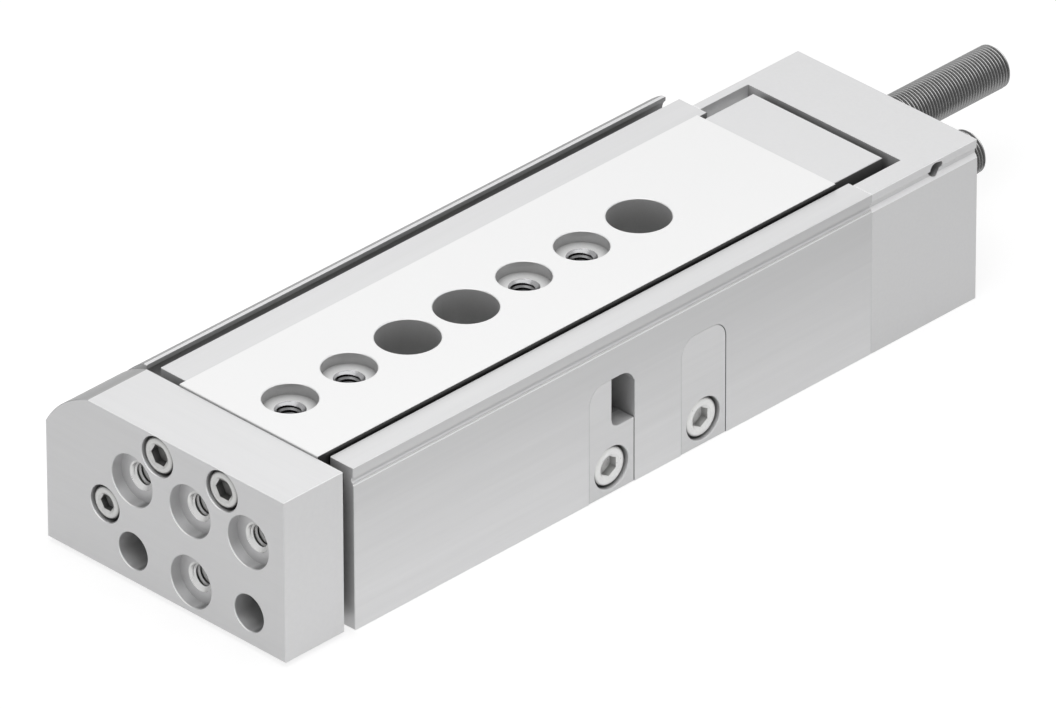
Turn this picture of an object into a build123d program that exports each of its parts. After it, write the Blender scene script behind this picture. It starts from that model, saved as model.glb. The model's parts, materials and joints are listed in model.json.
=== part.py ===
from build123d import *

import os
from math import acos, asin, degrees

# Pneumatic mini slide. Millimetres. X runs across the slide, Y to the rear (the slide
# extends along -Y) and Z up. The origin is the middle of the housing's base face.

# Housing and rear block
width = 41.0
main_length = 89.7
rear_length = 18.8
rail_height = 22.9
left_inset = 0.24

# Yoke plate at the front, and the flat arc of the upper left corner, shared with the housing
yoke_thickness = 10.0
yoke_height = 22.59
yoke_lift = 0.66
yoke_gap = 1.79
yoke_overhang = 0.15
corner_radius = 12.95
corner_x = -9.3
corner_z = 10.88

# Edges are broken lightly, at the outlines and at the mouths of the holes
edge_break = 0.08
hole_break = 0.1
screw_break = 0.3
stop_break = 0.4

# Sensor slot along the housing's left shoulder: a narrow mouth over a round channel
slot_mouth = 2.44
slot_right_inset = 7.86
slot_radius = 1.8
slot_depth = 2.6
slot_lip_drop = 0.7

# Right side: the strip above the step is set back, with a groove along it and a keyhole
strip_inset = 0.12
strip_bottom = 20.55
groove_radius = 0.38
groove_height = 21.13
rear_groove_top = 21.73
rear_groove_depth = 0.5
rear_groove_bottom = 20.33
keyhole_radius = 1.0
keyhole_height = 21.6
keyhole_tip_radius = 0.35
keyhole_tip_reach = 0.85
keyhole_tip_rise = 0.5
keyhole_depth = 2.5
keyhole_inset = 7.4

# Slide table
stroke = 50.0
left_rail = 12.9
right_rail = 4.3
slide_top = 23.56
slide_thickness = 7.26
slide_rear_gap = 2.04
slide_gap = 0.3
flange_thickness = 2.16
flank_recess = 0.7

# Row of holes along the slide table
table_hole_pitch = 10.0
first_table_hole = 7.05
threaded_table_holes = (0, 1, 4, 5)
plain_table_holes = (2, 3, 6)
plain_table_hole_radius = 4.125

# Threads and centring recesses for what is mounted on the slide
centring_radius = 3.5
centring_depth = 1.6
mount_thread_radius = 1.65
thread_break = 0.35

# Channel in the housing: the slide's own, and below it the narrower one for the stops
channel_floor = 16.0
stop_channel_floor = 9.5
stop_channel_right_inset = 2.6
bore_wall = 1.4
lug_clearance = 0.3

# Ball guide
track_thickness = 2.2
track_height = 4.4
track_top = 21.5
ball_radius = 1.2
ball_groove_clearance = 0.05
ball_height = 19.3
ball_pitch = 6.0
balls_per_side = 6
ball_sides = 12
cage_thickness = 0.5
cage_height = 3.8
cage_end = 3.0
cage_hole_clearance = 0.1
cage_front_gap = 0.75

# End block behind the slide table, and its pocket in the rear block, with a ledge on the left
end_block_length = 9.34
end_left_inset = 0.6
end_right_inset = 1.0
pocket_side_gap = 2.02
pocket_rear_gap = 1.14
ledge_depth = 1.8
end_screw_spread = 6.0
end_screw_height = 19.6

# Cylinder
bore_radius = 4.0
bore_inset = 9.76
bore_height = 9.64
rod_radius = 2.0
running_clearance = 0.05
bush_radius = 4.75
bush_length = 5.6
seal_length = 2.5
retainer_thickness = 1.2
retainer_inset = 0.2
retainer_opening = 0.6
piston_length = 12.0
piston_rear_gap = 1.0
piston_seal_width = 1.6
piston_seal_depth = 1.1
piston_seal_inset = 1.2
magnet_width = 3.2
magnet_depth = 1.2
magnet_inside = 0.3
bore_ring_width = 0.8
bore_ring_thickness = 0.6

# Air ports and ducts
port_radius = 2.1
port_depth = 6.0
port_spacing = 9.0
first_port = 4.45
duct_radius = 1.0
duct_inset = 3.0
front_duct_inset = 11.75
duct_plug_length = 1.5
duct_ring_width = 0.7
duct_ring_thickness = 0.6

# Shoulder of the rear block, which is low on the left
shoulder_height = 14.5
shoulder_width = 10.17

# Threaded stops
stop_radius = 3.0
stop_height = 13.1
retract_stop_inset = 3.3
retract_stop_reach = 26.75
advance_stop_inset = 3.5
advance_stop_reach = 9.45
advance_adjustment = 5.0
stop_hex = 3.0
stop_hex_depth = 3.0
stop_standoff = 0.3
stop_contact_gap = 0.1
buffer_radius = 1.9
buffer_stem_radius = 1.2
buffer_stem_length = 3.0
buffer_thickness = 1.0
pull_rod_radius = 1.7
pull_rod_grip = 8.0
pull_rod_hole_clearance = 0.3
pull_head_radius = 2.8
pull_head_length = 4.0

# Base screw holes, under two of the plain holes in the table
base_table_holes = (2, 6)
base_hole_radius = 2.15
base_counterbore_radius = 4.0
base_counterbore_depth = 4.6

# Side cover plates, the front one with a notch over a well in the housing
plate_width = 7.76
plate_height = 16.26
plate_thickness = 2.6
plate_corner = 2.4
plate_clearance = 0.08
first_plate = 44.05
plate_pitch = 16.0
plate_screw_height = 3.63
plate_counterbore_radius = 2.95
plate_counterbore_depth = 1.9
notch_width = 3.86
notch_height = 7.1
notch_corner = 1.3
well_depth = 4.2
well_top = 14.6

# Yoke plate's hole pattern
yoke_pattern_pitch = 10.0
yoke_lower_row = 5.03
yoke_upper_row = 15.03
yoke_plain_radius = 2.5
yoke_screw_spread = 5.55
yoke_screw_height = 20.33
yoke_screw_counterbore = 2.7
rod_screw_counterbore = 2.5

# Screws: head, mean radius of the thread, hexagon across flats and its depth
m3_head = 2.45
m3_low_head = 2.65
m3_head_height = 2.0
m3_low_head_height = 1.6
m3_thread = 1.4
m3_hex = 2.5
m3_hex_depth = 1.3
m25_head = 2.2
m25_head_height = 1.8
m25_thread = 1.15
m25_hex = 2.0
m25_hex_depth = 1.1
screw_hole_clearance = 0.25
yoke_screw_grip = 7.0
rod_screw_grip = 7.0
end_screw_grip = 7.0
plate_screw_grip = 6.0
rear_screw_grip = 7.0
thread_run_out = 1.0
yoke_screw_recess = 0.2

# Screws and dowels that hold the rear block
rear_screw_height = 4.2
rear_screw_left_inset = 3.3
rear_screw_right_inset = 3.7
rear_counterbore_radius = 2.8
rear_counterbore_depth = 3.0
dowel_radius = 1.0
dowel_length = 6.0
dowel_height = 2.6
dowel_left_inset = 8.0
dowel_right_inset = 9.0

# Places that follow from the sizes above
half_width = width / 2
front_y = -(main_length + rear_length) / 2
seam_y = front_y + main_length
rear_y = seam_y + rear_length
yoke_back_y = front_y - yoke_gap
yoke_front_y = yoke_back_y - yoke_thickness
yoke_top = yoke_lift + yoke_height
yoke_left = -half_width - yoke_overhang
housing_left = left_inset - half_width
strip_x = half_width - strip_inset
slot_x = slot_right_inset - half_width - slot_mouth / 2
slide_width = width - left_rail - right_rail
slide_offset = (left_rail - right_rail) / 2
slot_z = rail_height - slot_depth
lip_z = rail_height - slot_lip_drop
slide_bottom = slide_top - slide_thickness
slide_rear_y = seam_y - slide_rear_gap
slide_length = slide_rear_y - yoke_back_y
flank_half = slide_width / 2 - flank_recess
channel_half = slide_width / 2 + slide_gap
ball_line = (flank_half + channel_half) / 2
ball_groove_radius = ball_radius + ball_groove_clearance
bore_x = housing_left + bore_inset
stop_left = bore_x + bore_radius + bore_wall
stop_right = slide_offset + channel_half - stop_channel_right_inset
end_left = slide_offset - slide_width / 2 + end_left_inset
end_right = slide_offset + slide_width / 2 - end_right_inset
end_rear_y = slide_rear_y + end_block_length
pocket_left = end_left - pocket_side_gap
pocket_right = end_right + pocket_side_gap
pocket_rear_y = end_rear_y + pocket_rear_gap
table_hole_ys = [yoke_back_y + first_table_hole + table_hole_pitch * i for i in range(7)]
plate_ys = [front_y + first_plate + plate_pitch * i for i in range(2)]
port_ys = [seam_y + first_port + port_spacing * i for i in range(2)]
duct_x = housing_left + duct_inset
front_duct_y = front_y + front_duct_inset
bush_seat_depth = retainer_inset + retainer_thickness + bush_length + seal_length
bush_front_y = front_y + retainer_inset + retainer_thickness
seal_front_y = bush_front_y + bush_length
piston_rear_y = seam_y - piston_rear_gap
cage_length = (balls_per_side - 1) * ball_pitch + 2 * cage_end
cage_middle = front_y + cage_front_gap + (cage_length + stroke) / 2
yoke_columns = [slide_offset + yoke_pattern_pitch * i for i in (-1, 0, 1)]
yoke_thread_places = [(x, yoke_upper_row) for x in yoke_columns] + [(yoke_columns[1], yoke_lower_row)]
yoke_plain_places = [(x, yoke_lower_row) for x in (yoke_columns[0], yoke_columns[2])]
yoke_screw_places = [(slide_offset + s * yoke_screw_spread, yoke_screw_height) for s in (-1, 1)]
end_screw_places = [(slide_offset + s * end_screw_spread, end_screw_height) for s in (-1, 1)]
rear_screw_places = [
    (housing_left + rear_screw_left_inset, rear_screw_height),
    (slide_offset, rear_screw_height),
    (half_width - rear_screw_right_inset, rear_screw_height),
]
dowel_places = [
    (housing_left + dowel_left_inset, dowel_height),
    (half_width - dowel_right_inset, dowel_height),
]
bore_place = (bore_x, bore_height)
retract_place = (stop_left + retract_stop_inset, stop_height)
advance_place = (stop_right - advance_stop_inset, stop_height)
advance_contact_y = slide_rear_y - stroke - stop_contact_gap

right_side = Plane(origin=(half_width, 0, 0), x_dir=(0, 1, 0), z_dir=(1, 0, 0))
left_side = Plane(origin=(housing_left, 0, 0), x_dir=(0, -1, 0), z_dir=(-1, 0, 0))

os.makedirs("parts", exist_ok=True)


def across(y):
    """Upright plane across the slide at y: X to the right, Z up, extrusions run forward."""
    return Plane.XZ.offset(-y)


def corner_arc(left, top):
    """The rounded upper left corner, from one height down to the left side."""
    start = 180 - degrees(asin((top - corner_z) / corner_radius))
    end = degrees(acos((left - corner_x) / corner_radius))
    return CenterArc((corner_x, corner_z), corner_radius, start, end - start)


def discs(plane, places, radius):
    """Equal discs at the places on a plane."""
    with BuildSketch(plane) as outline:
        with Locations(*places):
            Circle(radius)
    return outline.sketch


def hexagons(plane, places, across_flats):
    """Equal hexagons at the places on a plane."""
    with BuildSketch(plane) as outline:
        with Locations(*places):
            RegularPolygon(across_flats / 2, 6, major_radius=False)
    return outline.sketch


def ring_sketch(plane, place, outer, inner):
    """A flat ring at one place on a plane."""
    with BuildSketch(plane) as outline:
        with Locations(place):
            Circle(outer)
            Circle(inner, mode=Mode.SUBTRACT)
    return outline.sketch


def block_sketch(plane, left, right, bottom, top):
    """A rectangle on a plane, from its four limits."""
    with BuildSketch(plane) as outline:
        with Locations(((left + right) / 2, (bottom + top) / 2)):
            Rectangle(right - left, top - bottom)
    return outline.sketch


def rims(part, radius):
    """The closed circular edges of one radius on a part."""
    circles = part.edges().filter_by(GeomType.CIRCLE)
    return circles.filter_by(lambda edge: edge.is_closed and abs(edge.radius - radius) < 0.001)


def mouths(plane, places, radius, size):
    """Chamfers at the mouths of equal holes that open on a plane."""
    with BuildPart() as cones:
        with Locations(*[plane.location * Pos(x, y) for x, y in places]):
            Cone(radius, radius + size, size, align=(Align.CENTER, Align.CENTER, Align.MAX))
    return cones.part


def side_plate_sketch(places, clearance):
    """Outlines of the side cover plates, grown by a clearance, on the housing's right side."""
    with BuildSketch(right_side) as outline:
        for y in places:
            with Locations((y, plate_height / 2)):
                Rectangle(plate_width + 2 * clearance, plate_height)
        upper = outline.vertices().group_by(Axis.Y)[-1]
        fillet(upper, plate_corner)
    return outline.sketch


def break_outline(block):
    """Break a block's end outlines, and its long edge at the top right."""
    long_edge = block.edges().filter_by(Axis.Y).group_by(Axis.Z)[-1].sort_by(Axis.X)[-1]
    chamfer(block.edges().filter_by(Axis.Y, reverse=True) + [long_edge], edge_break)


def socket_screws(plane, places, head, height, shank, length, hexagon, hexagon_depth):
    """Socket screws: the underside of the heads lies on the plane, the shanks run back from it."""
    with BuildPart() as screws:
        extrude(discs(plane, places, head), amount=height)
        extrude(discs(plane, places, shank), amount=-length)
        extrude(
            hexagons(plane.offset(height), places, hexagon),
            amount=-hexagon_depth,
            mode=Mode.SUBTRACT,
        )
        outward = Axis(plane.origin, plane.z_dir)
        chamfer(rims(screws, head).group_by(outward)[-1], screw_break)
    return screws.part


def save(part, name):
    """Label a finished piece and write it to its own file."""
    part.label = name
    export_step(part, f"parts/{name}.step")


# Housing: an extruded profile with the sensor slot, the channel, the bore and the ducts
with BuildPart() as housing:
    with BuildSketch(across(seam_y)):
        with BuildLine():
            shoulder = corner_arc(housing_left, lip_z)
            Polyline(
                shoulder @ 0,
                (slot_x, lip_z),
                (slot_x, rail_height),
                (strip_x, rail_height),
                (strip_x, strip_bottom),
                (half_width, strip_bottom - strip_inset),
                (half_width, 0),
                (housing_left, 0),
                shoulder @ 1,
            )
        make_face()
    extrude(amount=main_length)
    break_outline(housing)
    with BuildSketch(across(seam_y)):
        with Locations((strip_x, groove_height)):
            Circle(groove_radius)
        with Locations((slot_x, slot_z)):
            Rectangle(slot_mouth, rail_height, align=(Align.CENTER, Align.MIN))
            Circle(slot_radius)
        with Locations((slide_offset, channel_floor)):
            Rectangle(2 * channel_half, rail_height, align=(Align.CENTER, Align.MIN))
        with Locations((slide_offset, track_top)):
            Rectangle(
                2 * (channel_half + track_thickness), track_height, align=(Align.CENTER, Align.MAX)
            )
        with Locations(((stop_left + stop_right) / 2, stop_channel_floor)):
            Rectangle(stop_right - stop_left, channel_floor, align=(Align.CENTER, Align.MIN))
        with Locations(bore_place):
            Circle(bore_radius)
    extrude(amount=main_length, mode=Mode.SUBTRACT)
    extrude(discs(across(front_y), [bore_place], bush_radius), amount=-bush_seat_depth, mode=Mode.SUBTRACT)
    extrude(
        discs(across(seam_y), [bore_place], bore_radius + bore_ring_width),
        amount=bore_ring_thickness,
        mode=Mode.SUBTRACT,
    )
    duct_length = seam_y - front_duct_y
    extrude(
        discs(across(seam_y), [(duct_x, bore_height)], duct_radius), amount=duct_length, mode=Mode.SUBTRACT
    )
    extrude(
        discs(across(seam_y), [(duct_x, bore_height)], duct_radius + duct_ring_width),
        amount=duct_ring_thickness,
        mode=Mode.SUBTRACT,
    )
    extrude(
        discs(left_side, [(-front_duct_y, bore_height)], duct_radius),
        amount=-bore_inset,
        mode=Mode.SUBTRACT,
    )
    with Locations(*[(slide_offset, table_hole_ys[i], stop_channel_floor) for i in base_table_holes]):
        CounterBoreHole(base_hole_radius, base_counterbore_radius, base_counterbore_depth)
    extrude(
        discs(Plane.XY, [(slide_offset, table_hole_ys[i]) for i in base_table_holes], centring_radius),
        amount=centring_depth,
        mode=Mode.SUBTRACT,
    )
    extrude(side_plate_sketch(plate_ys, plate_clearance), amount=-plate_thickness, mode=Mode.SUBTRACT)
    notch_rear_y = plate_ys[0] + plate_width / 2
    extrude(
        block_sketch(
            right_side,
            notch_rear_y - notch_width,
            notch_rear_y + plate_clearance,
            plate_height - notch_height,
            well_top,
        ),
        amount=-well_depth,
        mode=Mode.SUBTRACT,
    )
    extrude(
        discs(right_side, [(y, plate_screw_height) for y in plate_ys], m3_thread),
        amount=-(plate_thickness + plate_screw_grip + thread_run_out),
        mode=Mode.SUBTRACT,
    )
    extrude(
        discs(across(seam_y), rear_screw_places, m3_thread),
        amount=rear_screw_grip + thread_run_out,
        mode=Mode.SUBTRACT,
    )
    extrude(discs(across(seam_y), dowel_places, dowel_radius), amount=dowel_length / 2, mode=Mode.SUBTRACT)
save(housing.part, "housing")

# Rear block: pocket for the end block, threads for both stops, air ports in the low shoulder
with BuildPart() as rear_block:
    with BuildSketch(across(rear_y)):
        with BuildLine():
            Polyline(
                (housing_left, 0),
                (half_width, 0),
                (half_width, rear_groove_bottom),
                (strip_x, rear_groove_bottom + strip_inset),
                (strip_x, rail_height),
                (shoulder_width - half_width, rail_height),
                (shoulder_width - half_width, shoulder_height),
                (housing_left, shoulder_height),
                close=True,
            )
        make_face()
    extrude(amount=rear_length)
    break_outline(rear_block)
    with BuildSketch(across(rear_y)):
        groove_floor = half_width - rear_groove_depth
        with BuildLine():
            Polyline(
                (half_width, rear_groove_bottom),
                (groove_floor, rear_groove_bottom + rear_groove_depth),
                (groove_floor, rear_groove_top + groove_floor - strip_x),
                (strip_x, rear_groove_top),
                (half_width, rear_groove_top),
                close=True,
            )
        make_face()
    extrude(amount=rear_length, mode=Mode.SUBTRACT)
    for left, floor in ((pocket_left, rail_height - ledge_depth), (end_left - slide_gap, channel_floor)):
        extrude(
            block_sketch(across(pocket_rear_y), left, pocket_right, floor, slide_top),
            amount=pocket_rear_y - seam_y,
            mode=Mode.SUBTRACT,
        )
    extrude(
        block_sketch(across(pocket_rear_y), stop_left, stop_right, stop_channel_floor, channel_floor),
        amount=pocket_rear_y - seam_y,
        mode=Mode.SUBTRACT,
    )
    extrude(
        discs(across(rear_y), [retract_place, advance_place], stop_radius + running_clearance),
        amount=rear_y - pocket_rear_y,
        mode=Mode.SUBTRACT,
    )
    extrude(
        discs(left_side, [(-y, bore_height) for y in port_ys], port_radius),
        amount=-port_depth,
        mode=Mode.SUBTRACT,
    )
    extrude(
        discs(left_side, [(-port_ys[1], bore_height)], duct_radius),
        amount=-bore_inset,
        mode=Mode.SUBTRACT,
    )
    extrude(
        discs(across(port_ys[1]), [bore_place], duct_radius), amount=port_ys[1] - seam_y, mode=Mode.SUBTRACT
    )
    extrude(
        discs(across(port_ys[0]), [(duct_x, bore_height)], duct_radius),
        amount=port_ys[0] - seam_y,
        mode=Mode.SUBTRACT,
    )
    with BuildSketch(right_side):
        keyhole_y = rear_y - keyhole_inset
        with Locations((keyhole_y, keyhole_height)):
            Circle(keyhole_radius)
        with Locations((keyhole_y + keyhole_tip_reach, keyhole_height + keyhole_tip_rise)):
            Circle(keyhole_tip_radius)
        make_hull()
    extrude(amount=-keyhole_depth, mode=Mode.SUBTRACT)
    extrude(
        discs(across(rear_y), rear_screw_places, m3_thread + screw_hole_clearance),
        amount=rear_length,
        mode=Mode.SUBTRACT,
    )
    extrude(
        discs(across(rear_y), rear_screw_places, rear_counterbore_radius),
        amount=rear_counterbore_depth,
        mode=Mode.SUBTRACT,
    )
    extrude(discs(across(seam_y), dowel_places, dowel_radius), amount=-dowel_length / 2, mode=Mode.SUBTRACT)
    rear_face = Plane(origin=(0, rear_y, 0), x_dir=(-1, 0, 0), z_dir=(0, 1, 0))
    rear_mouths = [
        ([retract_place, advance_place], stop_radius + running_clearance),
        (rear_screw_places, rear_counterbore_radius),
    ]
    for places, radius in rear_mouths:
        add(mouths(rear_face, [(-x, z) for x, z in places], radius, hole_break), mode=Mode.SUBTRACT)
save(rear_block.part, "rear_block")

# Screws, dowels and sealing rings between the housing and the rear block
rear_screws = socket_screws(
    Plane(origin=(0, rear_y - rear_counterbore_depth, 0), x_dir=(-1, 0, 0), z_dir=(0, 1, 0)),
    [(-x, z) for x, z in rear_screw_places],
    m3_head,
    m3_head_height,
    m3_thread,
    rear_length - rear_counterbore_depth + rear_screw_grip,
    m3_hex,
    m3_hex_depth,
)
save(rear_screws, "rear_block_screws")

with BuildPart() as rear_block_dowels:
    extrude(discs(across(seam_y), dowel_places, dowel_radius), amount=dowel_length / 2, both=True)
save(rear_block_dowels.part, "rear_block_dowels")

with BuildPart() as bore_seal_ring:
    extrude(
        ring_sketch(
            across(seam_y), bore_place, bore_radius + bore_ring_width, bore_radius + running_clearance
        ),
        amount=bore_ring_thickness,
    )
save(bore_seal_ring.part, "bore_seal_ring")

with BuildPart() as duct_seal_ring:
    extrude(
        ring_sketch(
            across(seam_y),
            (duct_x, bore_height),
            duct_radius + duct_ring_width,
            duct_radius + running_clearance,
        ),
        amount=duct_ring_thickness,
    )
save(duct_seal_ring.part, "duct_seal_ring")

with BuildPart() as duct_plug:
    extrude(discs(left_side, [(-front_duct_y, bore_height)], duct_radius), amount=-duct_plug_length)
save(duct_plug.part, "duct_plug")

# Hardened ball tracks in the channel's sides
for side, name in ((-1, "left_track"), (1, "right_track")):
    with BuildPart() as track:
        with BuildSketch(across(seam_y)):
            middle = slide_offset + side * (channel_half + track_thickness / 2)
            with Locations((middle, track_top - track_height / 2)):
                Rectangle(track_thickness, track_height)
            with Locations((slide_offset + side * ball_line, ball_height)):
                Circle(ball_groove_radius, mode=Mode.SUBTRACT)
        extrude(amount=main_length)
    save(track.part, name)

# Side cover plates, the front one with its small notch
for number, name in ((0, "cover_plate_front"), (1, "cover_plate_rear")):
    plate_y = plate_ys[number]
    with BuildPart() as cover_plate:
        extrude(side_plate_sketch([plate_y], 0), amount=-plate_thickness)
        extrude(
            discs(right_side, [(plate_y, plate_screw_height)], m3_thread + screw_hole_clearance),
            amount=-plate_thickness,
            mode=Mode.SUBTRACT,
        )
        extrude(
            discs(right_side, [(plate_y, plate_screw_height)], plate_counterbore_radius),
            amount=-plate_counterbore_depth,
            mode=Mode.SUBTRACT,
        )
        if name == "cover_plate_front":
            with BuildSketch(right_side) as notch:
                with Locations((plate_y + plate_width / 2, plate_height)):
                    Rectangle(2 * notch_width, 2 * notch_height)
                fillet(notch.vertices().group_by(Axis.Y)[0], notch_corner)
            extrude(amount=-plate_thickness, mode=Mode.SUBTRACT)
        chamfer(cover_plate.faces().sort_by(Axis.X)[-1].edges(), hole_break)
    save(cover_plate.part, name)

cover_screws = socket_screws(
    right_side.offset(-plate_counterbore_depth),
    [(y, plate_screw_height) for y in plate_ys],
    m3_low_head,
    m3_low_head_height,
    m3_thread,
    plate_thickness - plate_counterbore_depth + plate_screw_grip,
    m3_hex,
    m3_hex_depth,
)
save(cover_screws, "cover_plate_screws")

# Front end of the cylinder
with BuildPart() as rod_bush:
    extrude(
        ring_sketch(across(seal_front_y), bore_place, bush_radius, rod_radius + running_clearance),
        amount=bush_length,
    )
save(rod_bush.part, "rod_bush")

with BuildPart() as rod_seal:
    extrude(
        ring_sketch(
            across(seal_front_y + seal_length), bore_place, bush_radius, rod_radius + running_clearance
        ),
        amount=seal_length,
    )
save(rod_seal.part, "rod_seal")

with BuildPart() as rod_retainer:
    extrude(
        ring_sketch(across(bush_front_y), bore_place, bush_radius, rod_radius + retainer_opening),
        amount=retainer_thickness,
    )
save(rod_retainer.part, "rod_retainer")

# Slide table: flanks recessed for the cages, ball grooves, and the row of seven holes
with BuildPart() as slide_table:
    with BuildSketch(across(slide_rear_y)):
        with Locations((slide_offset, slide_bottom)):
            Rectangle(2 * flank_half, slide_thickness, align=(Align.CENTER, Align.MIN))
        with Locations((slide_offset, slide_top)):
            Rectangle(slide_width, flange_thickness, align=(Align.CENTER, Align.MAX))
        with Locations(*[(slide_offset + side * ball_line, ball_height) for side in (-1, 1)]):
            Circle(ball_groove_radius, mode=Mode.SUBTRACT)
    extrude(amount=slide_length)
    chamfer(slide_table.faces().sort_by(Axis.Z)[-1].edges(), edge_break)
    with Locations(*[(slide_offset, table_hole_ys[i], slide_top) for i in threaded_table_holes]):
        CounterBoreHole(mount_thread_radius, centring_radius, centring_depth)
    with Locations(*[(slide_offset, table_hole_ys[i], slide_top) for i in plain_table_holes]):
        Hole(plain_table_hole_radius)
    extrude(
        discs(across(yoke_back_y), yoke_screw_places, m3_thread),
        amount=-(yoke_screw_grip + thread_run_out),
        mode=Mode.SUBTRACT,
    )
    extrude(
        discs(across(slide_rear_y), end_screw_places, m3_thread),
        amount=end_screw_grip + thread_run_out,
        mode=Mode.SUBTRACT,
    )
    table_face = Plane.XY.offset(slide_top)
    threaded_places = [(slide_offset, table_hole_ys[i]) for i in threaded_table_holes]
    plain_places = [(slide_offset, table_hole_ys[i]) for i in plain_table_holes]
    add(mouths(table_face, threaded_places, centring_radius, hole_break), mode=Mode.SUBTRACT)
    add(mouths(table_face, plain_places, plain_table_hole_radius, hole_break), mode=Mode.SUBTRACT)
    recess_floor = table_face.offset(-centring_depth)
    add(mouths(recess_floor, threaded_places, mount_thread_radius, thread_break), mode=Mode.SUBTRACT)
save(slide_table.part, "slide_table")

# End block: level with the rails, with a lug that runs in the stop channel
with BuildPart() as end_block:
    extrude(
        block_sketch(across(end_rear_y), end_left, end_right, slide_bottom, rail_height),
        amount=end_block_length,
    )
    chamfer(end_block.faces().sort_by(Axis.Z)[-1].edges(), edge_break)
    extrude(
        block_sketch(
            across(end_rear_y),
            stop_left + lug_clearance,
            stop_right - lug_clearance,
            stop_channel_floor + lug_clearance,
            slide_bottom,
        ),
        amount=end_block_length,
    )
    extrude(
        discs(across(end_rear_y), [advance_place], pull_rod_radius + pull_rod_hole_clearance),
        amount=end_block_length,
        mode=Mode.SUBTRACT,
    )
    extrude(
        discs(across(end_rear_y), end_screw_places, m3_thread + screw_hole_clearance),
        amount=end_block_length,
        mode=Mode.SUBTRACT,
    )
    extrude(
        discs(across(end_rear_y), end_screw_places, rear_counterbore_radius),
        amount=rear_counterbore_depth,
        mode=Mode.SUBTRACT,
    )
save(end_block.part, "end_block")

end_block_screws = socket_screws(
    Plane(origin=(0, end_rear_y - rear_counterbore_depth, 0), x_dir=(-1, 0, 0), z_dir=(0, 1, 0)),
    [(-x, z) for x, z in end_screw_places],
    m3_head,
    m3_head_height,
    m3_thread,
    end_block_length - rear_counterbore_depth + end_screw_grip,
    m3_hex,
    m3_hex_depth,
)
save(end_block_screws, "end_block_screws")

# Yoke plate: rounded upper left corner and the hole pattern
with BuildPart() as yoke_plate:
    with BuildSketch(across(yoke_back_y)):
        with BuildLine():
            arc = corner_arc(yoke_left, yoke_top)
            Polyline(
                arc @ 1,
                (yoke_left, yoke_lift),
                (half_width, yoke_lift),
                (half_width, yoke_top),
                arc @ 0,
            )
        make_face()
    extrude(amount=yoke_thickness)
    break_outline(yoke_plate)
    yoke_face = across(yoke_front_y)
    through = -yoke_thickness
    extrude(discs(yoke_face, yoke_thread_places, mount_thread_radius), amount=through, mode=Mode.SUBTRACT)
    extrude(
        discs(yoke_face, yoke_thread_places, centring_radius), amount=-centring_depth, mode=Mode.SUBTRACT
    )
    extrude(discs(yoke_face, yoke_plain_places, yoke_plain_radius), amount=through, mode=Mode.SUBTRACT)
    extrude(
        discs(yoke_face, yoke_screw_places, m3_thread + screw_hole_clearance),
        amount=through,
        mode=Mode.SUBTRACT,
    )
    extrude(
        discs(yoke_face, yoke_screw_places, yoke_screw_counterbore),
        amount=-(m3_head_height + yoke_screw_recess),
        mode=Mode.SUBTRACT,
    )
    extrude(
        discs(yoke_face, [bore_place], m25_thread + screw_hole_clearance), amount=through, mode=Mode.SUBTRACT
    )
    extrude(
        discs(yoke_face, [bore_place], rod_screw_counterbore),
        amount=-(m25_head_height + yoke_screw_recess),
        mode=Mode.SUBTRACT,
    )
    yoke_mouths = [
        (yoke_thread_places, centring_radius),
        (yoke_plain_places, yoke_plain_radius),
        (yoke_screw_places, yoke_screw_counterbore),
        ([bore_place], rod_screw_counterbore),
    ]
    for places, radius in yoke_mouths:
        add(mouths(yoke_face, places, radius, hole_break), mode=Mode.SUBTRACT)
    recess_floor = yoke_face.offset(-centring_depth)
    add(mouths(recess_floor, yoke_thread_places, mount_thread_radius, thread_break), mode=Mode.SUBTRACT)
save(yoke_plate.part, "yoke_plate")

yoke_screws = socket_screws(
    across(yoke_front_y + m3_head_height + yoke_screw_recess),
    yoke_screw_places,
    m3_head,
    m3_head_height,
    m3_thread,
    yoke_thickness - m3_head_height - yoke_screw_recess + yoke_screw_grip,
    m3_hex,
    m3_hex_depth,
)
save(yoke_screws, "yoke_screws")

rod_screw = socket_screws(
    across(yoke_front_y + m25_head_height + yoke_screw_recess),
    [bore_place],
    m25_head,
    m25_head_height,
    m25_thread,
    yoke_thickness - m25_head_height - yoke_screw_recess + rod_screw_grip,
    m25_hex,
    m25_hex_depth,
)
save(rod_screw, "rod_screw")

# Piston rod, piston, seals and magnet
with BuildPart() as piston_rod:
    extrude(
        discs(across(piston_rear_y), [bore_place], rod_radius), amount=piston_rear_y - yoke_back_y
    )
    extrude(
        discs(across(yoke_back_y), [bore_place], m25_thread),
        amount=-(rod_screw_grip + thread_run_out),
        mode=Mode.SUBTRACT,
    )
save(piston_rod.part, "piston_rod")

piston_radius = bore_radius - running_clearance
piston_front_y = piston_rear_y - piston_length
seal_ys = [piston_rear_y - piston_seal_inset, piston_front_y + piston_seal_inset + piston_seal_width]
magnet_y = piston_rear_y - piston_length / 2 + magnet_width / 2
with BuildPart() as piston:
    extrude(ring_sketch(across(piston_rear_y), bore_place, piston_radius, rod_radius), amount=piston_length)
    for groove_y in seal_ys:
        extrude(
            ring_sketch(across(groove_y), bore_place, bore_radius, piston_radius - piston_seal_depth),
            amount=piston_seal_width,
            mode=Mode.SUBTRACT,
        )
    extrude(
        ring_sketch(across(magnet_y), bore_place, bore_radius, piston_radius - magnet_depth),
        amount=magnet_width,
        mode=Mode.SUBTRACT,
    )
save(piston.part, "piston")

with BuildPart() as piston_seals:
    for groove_y in seal_ys:
        extrude(
            ring_sketch(across(groove_y), bore_place, piston_radius, piston_radius - piston_seal_depth),
            amount=piston_seal_width,
        )
save(piston_seals.part, "piston_seals")

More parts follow.
